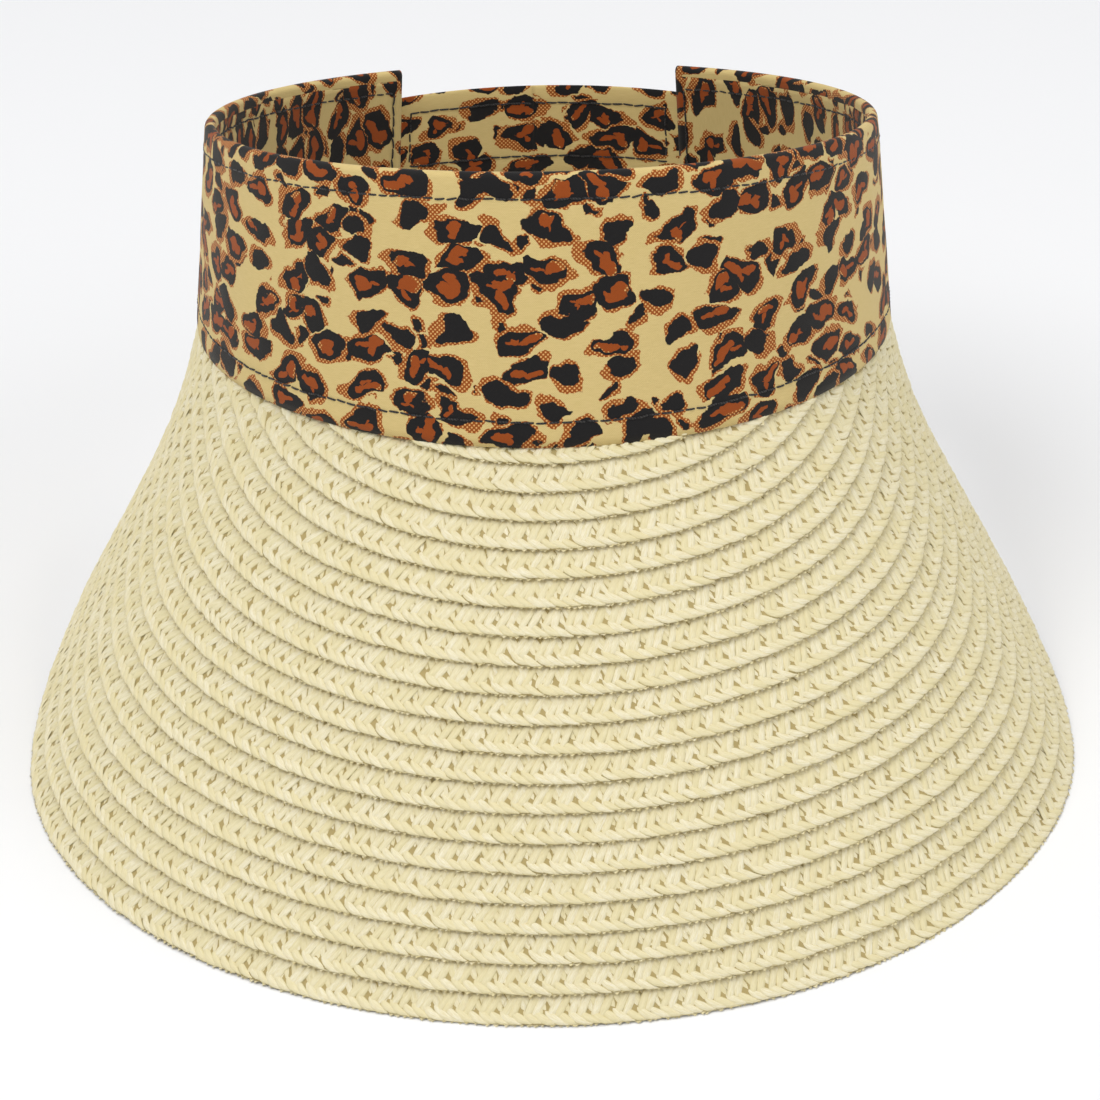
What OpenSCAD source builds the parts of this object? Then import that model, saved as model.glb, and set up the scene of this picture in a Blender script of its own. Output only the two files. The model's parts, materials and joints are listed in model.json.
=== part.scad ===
// Sun visor: a fabric headband with a closing strap, and a brim of sewn straw braid rows.
// Angles run round the headband from the front centre (0), positive towards +X.
// The headband is drawn level, then tipped back so that the brim's edge rests on Z = 0.

/* [Headband] */
// Half width of the headband's lower edge, outside
band_half_w = 87; // [82:0.5:92]
// Half depth of the headband's lower edge, outside
band_half_d = 98; // [92:0.5:104]
// Half width of the headband's upper edge, outside
rim_half_w = 83; // [78:0.5:87]
// Half depth of the headband's upper edge, outside
rim_half_d = 93; // [87:0.5:98]
// How far the upper edge sits back from the lower edge
rim_shift = 4; // [0:0.5:8]
// Height of the headband at the front
front_h = 63; // [58:1:72]
// Height of the headband at the back
back_h = 38; // [36:1:44]
// Angle at which each end of the headband stops
band_end = 153; // [148:1:156]

/* [Headband layers] */
// Thickness of the outer fabric
cover_t = 0.7; // [0.5:0.1:1]
// Thickness of the stiffener
stiffener_t = 1.2; // [0.8:0.1:1.6]
// Thickness of the lining
lining_t = 0.6; // [0.5:0.1:1]
// Clear gap between layers
layer_gap = 0.1; // [0.05:0.05:0.2]
// Depth of the outer fabric's fold over the upper edge
fold_h = 3; // [2:0.5:5]
// Distance of each topstitch from its edge
stitch_inset = 6; // [5:0.5:7]
// Width of a stitching thread
thread_w = 0.5; // [0.4:0.1:0.7]

/* [Brim] */
// Length of the brim at the front
brim_len = 133; // [122:0.5:138]
// Thickness of the braid
row_t = 1.3; // [1:0.1:1.6]
// Hidden width of a row under the next row in
row_overlap = 1.6; // [1:0.2:2.4]
// Lean of the brim's ribs, in degrees for each degree round the band
lean_rate = 0.585; // [0.57:0.005:0.6]
// Easing of that lean towards the back
lean_ease = 0.07; // [0.06:0.01:0.09]
// Slope of the brim at its sides
side_slope = 80; // [76:1:82]
// Total arch of a front rib from the band to the edge
rib_arch = 6.5; // [0:0.5:8]
// Angle at which the brim's edge leaves the surface it stands on
lift_start = 45; // [40:1:50]
// Angle from which the edge rises evenly
lift_full = 66; // [62:1:72]
// That even rise, in millimetres a degree
lift_rate = 0.86; // [0.8:0.02:0.92]

/* [Stance] */
// Backward tip of the headband as the visor stands
tip = 8; // [6:0.5:9]
// Depth of the resting edge below the centre of the lower edge
rest_depth = 86.5; // [84:0.5:89]

/* [Closure] */
// Width of the closing strap
strap_w = 23; // [20:1:24]
// Height of the strap's lower edge above the headband's lower edge
strap_z = 7.8; // [7.6:0.1:8.4]
// Thickness of the strap
strap_t = 1.2; // [0.8:0.1:1.6]
// Angle at which the strap's sewn root begins
root_start = 217; // [213:1:220]
// Angle at which the strap's free end stops
tab_end = 125; // [122:1:130]
// Width of the hook and loop tapes
tape_w = 19; // [16:1:19]
// Thickness of the loop tape
loop_t = 0.9; // [0.7:0.1:1.1]
// Thickness of the hook tape
hook_t = 0.8; // [0.6:0.1:1]
// Radius of the corners of the strap's free end
tab_corner = 5; // [2:1:8]

/* [Hidden] */

straw = [0.92, 0.87, 0.72];
cloth = [0.82, 0.7, 0.47];
cloth_in = [0.72, 0.6, 0.4];
board = [0.9, 0.9, 0.88];
thread = [0.08, 0.08, 0.08];
straw_thread = [0.85, 0.8, 0.66];
tape = [0.16, 0.14, 0.12];

// Step between stations round the band, and the last angle the rib table reaches
station = 4;
table_end = 144;
// Degrees in a radian, for arc lengths
deg = 180 / PI;
// The brim's root runs this far inside the band's outer face
root_inset = 1.5;
// Clear gap along a rib between the innermost braid and the headband
root_gap = 0.3;
// Width of a row where it runs out against the headband
row_min = 1.2;
// The innermost row shows this much at the front, and the other rows share the rest
first_row_w = 4.6;
full_rows = 19;
row_pitch = (brim_len - first_row_w) / full_rows;
// Level step from one row to the next: a braid's thickness and the clear gap between two rows
row_step = row_t + 0.22;
// Span over which the slope settles to the side slope
settle_from = 60;
settle_to = 90;
wall_t = cover_t + stiffener_t + lining_t + 2 * layer_gap;
// Height of a thread, and its clear gap to the fabric
thread_t = 0.42;
thread_gap = 0.12;
// Clear gap between the brim's stitching and the braid above it
seam_gap = 0.25;
// Degrees from a band end to its upright stitching and to the end of its topstitch
end_inset = 1.7;
stitch_stop = 2.5;
// Degrees from a tape's end to the end of the fabric it is sewn to
tape_margin = 2;
// Clear gap between the hook and the loop tape, and at each bend line of the strap
closure_gap = 0.35;
hinge_gap = 0.4;
hinge_half = hinge_gap / 2 * deg / band_half_d;
// How far the strap stands off the headband at its sewn end and at its closing end
strap_in = 0.55;
strap_out = layer_gap + loop_t + closure_gap + hook_t + thread_gap;
// Angles of the strap's two bend lines
span_start = 207;
span_end = 155.2;
// Distance of the strap's topstitch from its edges, and degrees it stops short of each end
strap_stitch_inset = 2.5;
strap_stitch_stop = 1.5;
// The loop tape's stitching: distance from the tape's edges, and height above its face
loop_stitch_inset = 1.5;
loop_stitch_t = 0.22;

// ---------- shared helpers ----------

function flat(list) = [for (group = list) for (item = group) item];

// Skins a list of equal point rings into one closed solid.
module sweep(rings) {
    count = len(rings[0]);
    last = len(rings) - 1;
    polyhedron(
        points = flat(rings),
        faces = concat(
            [[for (j = [0 : count - 1]) j]],
            [[for (j = [count - 1 : -1 : 0]) last * count + j]],
            [for (i = [0 : last - 1]) for (j = [0 : count - 1])
                [i * count + j, (i + 1) * count + j, (i + 1) * count + (j + 1) % count]],
            [for (i = [0 : last - 1]) for (j = [0 : count - 1])
                [i * count + j, (i + 1) * count + (j + 1) % count, i * count + (j + 1) % count]]),
        convexity = 12);
}

function ramp(x) = let (c = max(0, min(1, x))) c * c * (3 - 2 * c);

// Even angles from one end to the other, no further apart than the station step.
function angles(from, to, step = station) =
    let (n = max(1, ceil(abs(to - from) / step)))
    [for (i = [0 : n]) from + (to - from) * i / n];

// ---------- headband surface ----------

function band_height(t) = (front_h + back_h) / 2 + (front_h - back_h) / 2 * cos(t);
function band_low(t) = [band_half_w * sin(t), -band_half_d * cos(t), 0];
function band_top(t) = [rim_half_w * sin(t), rim_shift - rim_half_d * cos(t), band_height(t)];
function band_out(t) =
    let (n = [band_half_d * sin(t), -band_half_w * cos(t), 0])
    n / norm(n);
function band_slant(t) = norm(band_top(t) - band_low(t));

// A point on the headband: angle, distance up the wall, distance out from its outer face.
function wall(t, up, out) =
    band_low(t) + (band_top(t) - band_low(t)) * up / band_slant(t) + band_out(t) * out;

// ---------- brim surface ----------

root_w = band_half_w - root_inset;
root_d = band_half_d - root_inset;

function lean(a) = lean_rate * a - lean_ease * a * pow(a / 100, 2);
function root_speed(a) = sqrt(pow(root_w * cos(a), 2) + pow(root_d * sin(a), 2)) / deg;

table_n = table_end / station;
rib_lens = [for (i = 0, len = brim_len; i <= table_n;
    len = len - sin(lean((i + 0.5) * station)) * root_speed((i + 0.5) * station) * station,
    i = i + 1) len];
len_table = [for (i = [0 : table_n]) [i * station, rib_lens[i]]];
angle_table = [for (i = [table_n : -1 : 0]) [rib_lens[i], i * station]];

function rib_len(a) = lookup(a, len_table);
function rib_angle(len) = lookup(len, angle_table);

function edge_lift(a) =
    let (x = max(0, a - lift_start), w = lift_full - lift_start)
    lift_rate * ((x < w) ? x * x / (2 * w) : x - w / 2);

// The slope that puts the end of a rib on its level above the resting surface.
function resting_slope(a) =
    let (
        along = [root_w * cos(a), root_d * sin(a), 0] / (root_speed(a) * deg),
        drop = edge_lift(a) - rest_depth - root_d * cos(a) * sin(tip),
        side = along[0] * sin(tip),
        reach = sqrt(side * side + cos(tip) * cos(tip)),
        want = (drop / max(rib_len(a), 1) + sin(lean(a)) * along[1] * sin(tip)) / cos(lean(a)))
    acos(max(-1, min(1, want / reach))) - atan2(cos(tip), side);

function slope(a) =
    let (w = ramp((a - settle_from) / (settle_to - settle_from)))
    (w >= 1) ? side_slope : (1 - w) * resting_slope(a) + w * side_slope;

// A point on the brim: angle, distance out along the rib, height above the rib.
function brim_point(t, dist, high) =
    let (
        a = abs(t),
        root = [root_w * sin(a), -root_d * cos(a), 0],
        along = [root_w * cos(a), root_d * sin(a), 0] / (root_speed(a) * deg),
        outward = [along[1], -along[0], 0],
        turn = max(rib_arch, 0.01) / brim_len,
        first = slope(a) - turn * rib_len(a) / 2,
        here = first + turn * dist,
        run = (sin(here) - sin(first)) / (turn / deg),
        fall = (cos(first) - cos(here)) / (turn / deg),
        p = root + cos(lean(a)) * (outward * run - [0, 0, fall]) + sin(lean(a)) * along * dist
            + high * (outward * sin(here) + [0, 0, cos(here)]))
    [(t < 0) ? -p[0] : p[0], p[1], p[2]];

// ---------- placing ----------

function tipped(p) = [p[0], p[1] * cos(tip) + p[2] * sin(tip), p[2] * cos(tip) - p[1] * sin(tip)];

front_y = min(tipped(brim_point(0, brim_len, 0))[1], tipped(brim_point(0, brim_len, row_t))[1]);
back_y = tipped(wall(180, strap_z + strap_w, strap_level(180) + strap_t))[1];

module placed() {
    translate([0, -(front_y + back_y) / 2, rest_depth])
        rotate([-tip, 0, 0])
            children();
}

// ---------- brim pieces ----------

// How far from its root a rib must start for a row's upper face to stay below the headband.
function trim(a) = row_t * cos(slope(a)) / sin(slope(a)) + root_gap;

// Number k counts the rows inwards from the brim's edge.
module braid_row(k) {
    reach = rib_angle((k - 1) * row_pitch + row_min + trim(rib_angle((k - 1) * row_pitch)));
    color(straw)
        placed()
            sweep([for (t = angles(-reach, reach))
                let (
                    outer = rib_len(abs(t)) - (k - 1) * row_pitch,
                    inner = max(outer - row_pitch - row_overlap, min(trim(abs(t)), outer - row_min / 2)),
                    low = -row_step * (outer - inner) / row_pitch)
                [brim_point(t, outer, 0), brim_point(t, outer, row_t),
                    brim_point(t, inner, low + row_t), brim_point(t, inner, low)]]);
}

// One seam under each overlap, below the inner edge of the outer row of the pair.
module brim_stitching() {
    seam = row_pitch + row_overlap / 2;
    color(straw_thread)
        placed()
            for (k = [1 : full_rows - 1]) {
                reach = rib_angle(k * row_pitch + row_overlap + row_min);
                under = -row_step * seam / row_pitch - seam_gap;
                sweep([for (t = angles(-reach, reach))
                    let (dist = rib_len(abs(t)) - (k - 1) * row_pitch - seam)
                    [brim_point(t, dist + thread_w / 2, under - thread_t / 2),
                        brim_point(t, dist, under),
                        brim_point(t, dist - thread_w / 2, under - thread_t / 2),
                        brim_point(t, dist, under - thread_t)]]);
            }
}

// ---------- headband pieces ----------

// The outer fabric: the outer face, and a fold over the upper edge.
module band_cover() {
    round_by = 0.8;
    inner = layer_gap + cover_t;
    color(cloth)
        placed()
            sweep([for (t = angles(-band_end, band_end))
                let (h = band_slant(t))
                [wall(t, 0, -cover_t), wall(t, 0, 0), wall(t, h - round_by, 0),
                    wall(t, h, -round_by), wall(t, h, round_by - wall_t),
                    wall(t, h - round_by, -wall_t), wall(t, h - fold_h, -wall_t),
                    wall(t, h - fold_h, lining_t - wall_t), wall(t, h - inner, lining_t - wall_t),
                    wall(t, h - inner, -cover_t)]]);
}

// A plain layer of the headband between two depths below the outer face.
module band_layer(near, thick, low, top_gap) {
    sweep([for (t = angles(-band_end, band_end))
        let (h = band_slant(t) - top_gap)
        [wall(t, low, -near - thick), wall(t, low, -near), wall(t, h, -near), wall(t, h, -near - thick)]]);
}

module band_stiffener() {
    color(board)
        placed()
            band_layer(cover_t + layer_gap, stiffener_t, 1, cover_t + 2 * layer_gap);
}

module band_lining() {
    color(cloth_in)
        placed()
            band_layer(wall_t - lining_t, lining_t, 0, fold_h + layer_gap);
}

// A thread lying on a wall along a path of [angle, up] stations.
module wall_thread(path, out, side) {
    sweep([for (p = path)
        [wall(p[0], p[1] - thread_w / 2, out + side * thread_gap),
            wall(p[0], p[1] - thread_w / 4, out + side * thread_t),
            wall(p[0], p[1] + thread_w / 4, out + side * thread_t),
            wall(p[0], p[1] + thread_w / 2, out + side * thread_gap)]]);
}

// The same thread on the outer face and on the lining.
module both_faces(path) {
    wall_thread(path, 0, 1);
    wall_thread([for (i = [len(path) - 1 : -1 : 0]) path[i]], -wall_t, -1);
}

module topstitch_upper() {
    color(thread)
        placed()
            both_faces([for (t = angles(-band_end + stitch_stop, band_end - stitch_stop))
                [t, band_slant(t) - stitch_inset]]);
}

module topstitch_lower() {
    color(thread)
        placed()
            both_faces([for (t = angles(-band_end + stitch_stop, band_end - stitch_stop))
                [t, stitch_inset]]);
}

// An upright thread on one face of the wall; side is 1 for the outer face and -1 for the lining.
module upright_thread(t, out, side) {
    low = stitch_inset + thread_w;
    top = band_slant(t) - stitch_inset - thread_w;
    half = side * thread_w / 2 * deg / band_half_w;
    near = out + side * thread_gap;
    far = out + side * thread_t;
    sweep([for (a = [t - half, t + half])
        [wall(a, low, near), wall(a, low, far), wall(a, top, far), wall(a, top, near)]]);
}

module end_stitch(t) {
    upright_thread(t, 0, 1);
    upright_thread(t, -wall_t, -1);
}

module end_stitch_left() {
    color(thread)
        placed()
            end_stitch(-band_end + end_inset);
}

module end_stitch_right() {
    color(thread)
        placed()
            end_stitch(band_end - end_inset);
}

// ---------- closure pieces ----------

// The strap lies against the left band end and stands off the right one by the two tapes.
function strap_level(t) =
    strap_in + (strap_out - strap_in) * max(0, min(1, (span_start - t) / (span_start - band_end)));

module strap_piece(from, to, corner = 0) {
    steps = 4;
    mm = deg / band_half_d;
    rounding = [for (i = [1 : steps]) to + corner * mm * (1 - sin(i * 88 / steps))];
    rings = (corner > 0) ? concat(angles(from, to + corner * mm), rounding) : angles(from, to);
    color(cloth)
        placed()
            sweep([for (t = rings)
                let (
                    into = max(0, corner - (t - to) / mm),
                    cut = corner - sqrt(pow(corner, 2) - pow(into, 2)),
                    low = strap_z + cut,
                    top = strap_z + strap_w - cut,
                    near = strap_level(t),
                    far = near + strap_t)
                [wall(t, low, far), wall(t, low, near), wall(t, top, near), wall(t, top, far)]]);
}

module strap_root() {
    strap_piece(root_start, span_start + hinge_half);
}

module strap_span() {
    strap_piece(span_start - hinge_half, span_end + hinge_half);
}

module strap_tab() {
    strap_piece(span_end - hinge_half, tab_end, tab_corner);
}

// The strap's topstitch along both long edges, on the outer face and on the inner face.
module strap_threads(from, to, inside) {
    for (up = [strap_z + strap_stitch_inset, strap_z + strap_w - strap_stitch_inset]) {
        sweep([for (t = angles(from, to))
            let (near = strap_level(t) + strap_t + thread_gap, far = strap_level(t) + strap_t + thread_t)
            [wall(t, up + thread_w / 2, near), wall(t, up + thread_w / 4, far),
                wall(t, up - thread_w / 4, far), wall(t, up - thread_w / 2, near)]]);
        if (inside)
            sweep([for (t = angles(from, to))
                let (near = strap_level(t) - thread_gap, far = strap_level(t) - thread_t)
                [wall(t, up - thread_w / 2, near), wall(t, up - thread_w / 4, far),
                    wall(t, up + thread_w / 4, far), wall(t, up + thread_w / 2, near)]]);
    }
}

module root_stitch() {
    color(thread)
        placed()
            strap_threads(root_start - strap_stitch_stop, span_start + strap_stitch_stop, false);
}

module span_stitch() {
    color(thread)
        placed()
            strap_threads(span_start - strap_stitch_stop, span_end + strap_stitch_stop, true);
}

module tab_stitch() {
    color(thread)
        placed()
            strap_threads(span_end - strap_stitch_stop, tab_end + 2 * strap_stitch_stop, false);
}

module tape_piece(from, to, out, thick) {
    low = strap_z + (strap_w - tape_w) / 2;
    color(tape)
        placed()
            sweep([for (t = angles(from, to))
                [wall(t, low, out + thick), wall(t, low, out), wall(t, low + tape_w, out),
                    wall(t, low + tape_w, out + thick)]]);
}

module hook_tape() {
    tape_piece(band_end - tape_margin, tab_end + tape_margin, strap_out - thread_gap - hook_t, hook_t);
}

module loop_tape() {
    tape_piece(band_end - 2 * tape_margin, tab_end - tape_margin, layer_gap, loop_t);
}

// Stitching that holds the loop tape down, along its upper and lower edges.
module loop_stitch() {
    low = strap_z + (strap_w - tape_w) / 2 + loop_stitch_inset;
    near = layer_gap + loop_t + thread_gap;
    far = layer_gap + loop_t + loop_stitch_t;
    color(thread)
        placed()
            for (up = [low, low + tape_w - 2 * loop_stitch_inset])
                sweep([for (t = angles(band_end - 3 * tape_margin, tab_end))
                    [wall(t, up + thread_w / 2, near), wall(t, up + thread_w / 4, far),
                        wall(t, up - thread_w / 4, far), wall(t, up - thread_w / 2, near)]]);
}

// ---------- nodes ----------

braid_row(1);  // braid_row_01
braid_row(2);  // braid_row_02
braid_row(3);  // braid_row_03
braid_row(4);  // braid_row_04
braid_row(5);  // braid_row_05
braid_row(6);  // braid_row_06
braid_row(7);  // braid_row_07
braid_row(8);  // braid_row_08
braid_row(9);  // braid_row_09
braid_row(10);  // braid_row_10
braid_row(11);  // braid_row_11
braid_row(12);  // braid_row_12
braid_row(13);  // braid_row_13
braid_row(14);  // braid_row_14
braid_row(15);  // braid_row_15
braid_row(16);  // braid_row_16
braid_row(17);  // braid_row_17
braid_row(18);  // braid_row_18
braid_row(19);  // braid_row_19
braid_row(20);  // braid_row_20
brim_stitching();
band_cover();
band_stiffener();
band_lining();
topstitch_upper();
topstitch_lower();
end_stitch_left();
end_stitch_right();
strap_root();
strap_span();
strap_tab();
root_stitch();
span_stitch();
tab_stitch();
hook_tape();
loop_tape();
loop_stitch();
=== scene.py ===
"""Sun visor: sewn straw braid brim, printed fabric headband and closing strap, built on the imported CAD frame.

Shapes are drawn in millimetres in the headband's own level frame, as in the CAD source, and `placed`
tips them back and turns them into metres. Angles run round the headband from the front centre.
"""

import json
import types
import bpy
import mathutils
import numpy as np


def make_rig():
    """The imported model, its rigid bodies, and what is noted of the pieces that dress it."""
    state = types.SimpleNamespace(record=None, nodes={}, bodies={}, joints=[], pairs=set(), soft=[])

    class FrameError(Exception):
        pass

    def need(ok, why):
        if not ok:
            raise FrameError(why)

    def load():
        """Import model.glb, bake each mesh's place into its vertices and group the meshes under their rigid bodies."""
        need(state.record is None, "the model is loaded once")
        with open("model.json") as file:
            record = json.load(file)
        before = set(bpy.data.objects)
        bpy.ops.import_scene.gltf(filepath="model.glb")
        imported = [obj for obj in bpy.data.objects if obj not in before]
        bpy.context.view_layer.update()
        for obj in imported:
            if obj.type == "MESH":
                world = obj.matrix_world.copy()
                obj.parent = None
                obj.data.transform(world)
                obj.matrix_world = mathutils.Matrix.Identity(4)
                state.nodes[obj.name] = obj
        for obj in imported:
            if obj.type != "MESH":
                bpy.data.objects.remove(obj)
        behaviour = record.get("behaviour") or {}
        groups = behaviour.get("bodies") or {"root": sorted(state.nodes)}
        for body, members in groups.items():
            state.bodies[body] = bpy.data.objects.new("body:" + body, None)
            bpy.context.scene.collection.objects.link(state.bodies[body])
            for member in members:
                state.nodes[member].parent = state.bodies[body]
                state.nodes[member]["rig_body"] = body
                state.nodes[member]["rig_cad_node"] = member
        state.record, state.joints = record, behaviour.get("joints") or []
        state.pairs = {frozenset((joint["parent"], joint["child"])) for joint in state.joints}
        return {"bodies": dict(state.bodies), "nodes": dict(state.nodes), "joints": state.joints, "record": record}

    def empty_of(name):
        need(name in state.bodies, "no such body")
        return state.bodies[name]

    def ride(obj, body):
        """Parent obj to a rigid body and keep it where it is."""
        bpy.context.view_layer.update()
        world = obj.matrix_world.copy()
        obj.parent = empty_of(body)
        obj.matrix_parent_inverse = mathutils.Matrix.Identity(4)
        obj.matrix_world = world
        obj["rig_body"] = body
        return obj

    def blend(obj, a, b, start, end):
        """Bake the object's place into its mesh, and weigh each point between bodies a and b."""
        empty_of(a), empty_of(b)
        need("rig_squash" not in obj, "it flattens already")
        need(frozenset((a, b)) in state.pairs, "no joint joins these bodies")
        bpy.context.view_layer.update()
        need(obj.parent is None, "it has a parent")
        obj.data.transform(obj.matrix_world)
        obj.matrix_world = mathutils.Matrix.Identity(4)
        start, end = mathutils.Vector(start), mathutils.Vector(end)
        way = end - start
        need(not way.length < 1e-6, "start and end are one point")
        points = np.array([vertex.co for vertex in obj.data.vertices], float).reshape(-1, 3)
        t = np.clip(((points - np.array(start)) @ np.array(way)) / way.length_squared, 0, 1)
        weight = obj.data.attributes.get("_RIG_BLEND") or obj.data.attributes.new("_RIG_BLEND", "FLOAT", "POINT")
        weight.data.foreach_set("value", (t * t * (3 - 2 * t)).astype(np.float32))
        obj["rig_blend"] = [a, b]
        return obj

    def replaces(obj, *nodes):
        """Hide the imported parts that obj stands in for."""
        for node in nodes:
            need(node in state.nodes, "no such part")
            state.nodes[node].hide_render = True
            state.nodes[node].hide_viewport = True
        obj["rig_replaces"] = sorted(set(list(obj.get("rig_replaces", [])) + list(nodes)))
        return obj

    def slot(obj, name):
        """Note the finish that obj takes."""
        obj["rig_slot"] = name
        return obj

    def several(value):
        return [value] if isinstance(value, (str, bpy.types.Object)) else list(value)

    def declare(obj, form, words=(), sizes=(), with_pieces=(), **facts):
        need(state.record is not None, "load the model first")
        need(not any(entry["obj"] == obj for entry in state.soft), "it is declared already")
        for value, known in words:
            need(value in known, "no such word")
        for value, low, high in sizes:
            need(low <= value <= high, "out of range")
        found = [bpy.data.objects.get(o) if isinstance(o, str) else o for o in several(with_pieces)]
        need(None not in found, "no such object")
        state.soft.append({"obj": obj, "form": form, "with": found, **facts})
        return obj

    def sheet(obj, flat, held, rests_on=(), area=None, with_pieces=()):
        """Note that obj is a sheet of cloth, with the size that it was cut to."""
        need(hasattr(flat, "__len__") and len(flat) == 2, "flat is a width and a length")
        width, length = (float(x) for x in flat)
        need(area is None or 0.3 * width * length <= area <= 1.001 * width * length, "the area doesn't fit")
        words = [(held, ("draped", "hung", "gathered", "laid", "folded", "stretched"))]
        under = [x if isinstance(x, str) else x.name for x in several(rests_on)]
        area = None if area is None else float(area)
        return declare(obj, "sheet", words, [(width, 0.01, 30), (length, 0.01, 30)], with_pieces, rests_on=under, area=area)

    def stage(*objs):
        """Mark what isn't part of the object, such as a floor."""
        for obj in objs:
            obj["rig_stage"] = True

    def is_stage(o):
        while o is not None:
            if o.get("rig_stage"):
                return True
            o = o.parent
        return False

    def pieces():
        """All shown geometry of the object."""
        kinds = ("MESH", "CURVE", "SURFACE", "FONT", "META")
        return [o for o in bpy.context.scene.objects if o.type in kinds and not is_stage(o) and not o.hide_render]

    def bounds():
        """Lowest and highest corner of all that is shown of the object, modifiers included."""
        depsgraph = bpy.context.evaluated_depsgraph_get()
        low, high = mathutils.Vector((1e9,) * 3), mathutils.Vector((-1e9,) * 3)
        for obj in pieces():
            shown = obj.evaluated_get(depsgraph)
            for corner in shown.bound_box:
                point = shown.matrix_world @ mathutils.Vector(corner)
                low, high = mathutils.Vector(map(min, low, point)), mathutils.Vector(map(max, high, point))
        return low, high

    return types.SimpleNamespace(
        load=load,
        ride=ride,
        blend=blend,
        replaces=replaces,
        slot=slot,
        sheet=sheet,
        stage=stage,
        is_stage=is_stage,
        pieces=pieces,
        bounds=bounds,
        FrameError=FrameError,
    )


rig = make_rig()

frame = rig.load()

import json
import math

import bpy
import numpy as np
from mathutils import Matrix, Vector

CAD_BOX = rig.bounds()
MM = 0.001

# ---------- driving dimensions, the CAD source's own, in millimetres and degrees ----------

BAND_W, BAND_D = 87.0, 98.0
RIM_W, RIM_D, RIM_SHIFT = 83.0, 93.0, 4.0
FRONT_H, BACK_H = 63.0, 38.0
BAND_END = 153.0
COVER_T, STIFF_T, LINING_T, LAYER_GAP = 0.7, 1.2, 0.6, 0.1
WALL_T = COVER_T + STIFF_T + LINING_T + 2 * LAYER_GAP
STITCH_INSET = 6.0
END_INSET, LOOP_STITCH_INSET = 1.7, 1.5

BRIM_LEN, FIRST_ROW_W, FULL_ROWS = 133.0, 4.6, 19
PITCH = (BRIM_LEN - FIRST_ROW_W) / FULL_ROWS
ROW_T, ROW_OVERLAP = 1.3, 1.6
ROW_STEP = ROW_T + 0.22
LEAN_RATE, LEAN_EASE = 0.585, 0.07
SIDE_SLOPE, RIB_ARCH = 80.0, 6.5
LIFT_START, LIFT_FULL, LIFT_RATE = 45.0, 66.0, 0.86
SETTLE_FROM, SETTLE_TO = 60.0, 90.0
ROOT_INSET = 1.5
TABLE_END, STATION = 144.0, 4.0
TIP, REST_DEPTH = 8.0, 86.5

STRAP_W, STRAP_Z, STRAP_T = 23.0, 7.8, 1.2
ROOT_START, SPAN_START, SPAN_END, TAB_END = 217.0, 207.0, 155.2, 125.0
TAPE_W, LOOP_T, HOOK_T = 19.0, 0.9, 0.8
CLOSURE_GAP, THREAD_GAP = 0.35, 0.12
STRAP_IN = 0.55
STRAP_OUT = LAYER_GAP + LOOP_T + CLOSURE_GAP + HOOK_T + THREAD_GAP
TAPE_MARGIN = 2.0

SIN_TIP, COS_TIP = math.sin(math.radians(TIP)), math.cos(math.radians(TIP))


def sin(t):
    return np.sin(np.radians(t))


def cos(t):
    return np.cos(np.radians(t))


def ramp(x):
    c = np.clip(x, 0, 1)
    return c * c * (3 - 2 * c)


def vec(x, y, z):
    return np.stack(np.broadcast_arrays(x, y, z), -1).astype(float)


# ---------- the headband's wall ----------


def band_low(t):
    return vec(BAND_W * sin(t), -BAND_D * cos(t), 0.0)


def band_top(t):
    h = (FRONT_H + BACK_H) / 2 + (FRONT_H - BACK_H) / 2 * cos(t)
    return vec(RIM_W * sin(t), RIM_SHIFT - RIM_D * cos(t), h)


def band_out(t):
    n = vec(BAND_D * sin(t), -BAND_W * cos(t), 0.0)
    return n / np.linalg.norm(n, axis=-1, keepdims=True)


def band_slant(t):
    return np.linalg.norm(band_top(t) - band_low(t), axis=-1)


def wall(t, up, out):
    """Points on the headband: angle, distance up the wall, distance out from its outer face."""
    t, up, out = np.broadcast_arrays(np.asarray(t, float), np.asarray(up, float), np.asarray(out, float))
    low = band_low(t)
    return low + (band_top(t) - low) * (up / band_slant(t))[..., None] + band_out(t) * out[..., None]


def band_length(t):
    """Distance round the headband's outer face at mid height, from the front centre."""
    return np.interp(t, ARC_T, ARC_S)


def band_angle(s):
    return np.interp(s, ARC_S, ARC_T)


ARC_T = np.linspace(-240, 240, 1921)
_mid = wall(ARC_T, band_slant(ARC_T) / 2, 0.0)
ARC_S = np.concatenate([[0], np.cumsum(np.linalg.norm(np.diff(_mid, axis=0), axis=1))])
ARC_S -= np.interp(0.0, ARC_T, ARC_S)


def strap_level(t):
    share = np.clip((SPAN_START - t) / (SPAN_START - BAND_END), 0, 1)
    return STRAP_IN + (STRAP_OUT - STRAP_IN) * share


# ---------- the brim's surface ----------

ROOT_W, ROOT_D = BAND_W - ROOT_INSET, BAND_D - ROOT_INSET


def lean(a):
    return LEAN_RATE * a - LEAN_EASE * a * (a / 100) ** 2


def root_speed(a):
    return np.hypot(ROOT_W * cos(a), ROOT_D * sin(a)) * math.pi / 180


_steps = np.arange(0, TABLE_END, STATION) + STATION / 2
RIB_A = np.arange(0, TABLE_END + 1, STATION)
RIB_L = BRIM_LEN - np.concatenate([[0], np.cumsum(sin(lean(_steps)) * root_speed(_steps) * STATION)])


def rib_len(a):
    return np.interp(a, RIB_A, RIB_L)


def rib_angle(length):
    return np.interp(length, RIB_L[::-1], RIB_A[::-1])


def edge_lift(a):
    x, w = np.maximum(0, a - LIFT_START), LIFT_FULL - LIFT_START
    return LIFT_RATE * np.where(x < w, x * x / (2 * w), x - w / 2)


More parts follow.
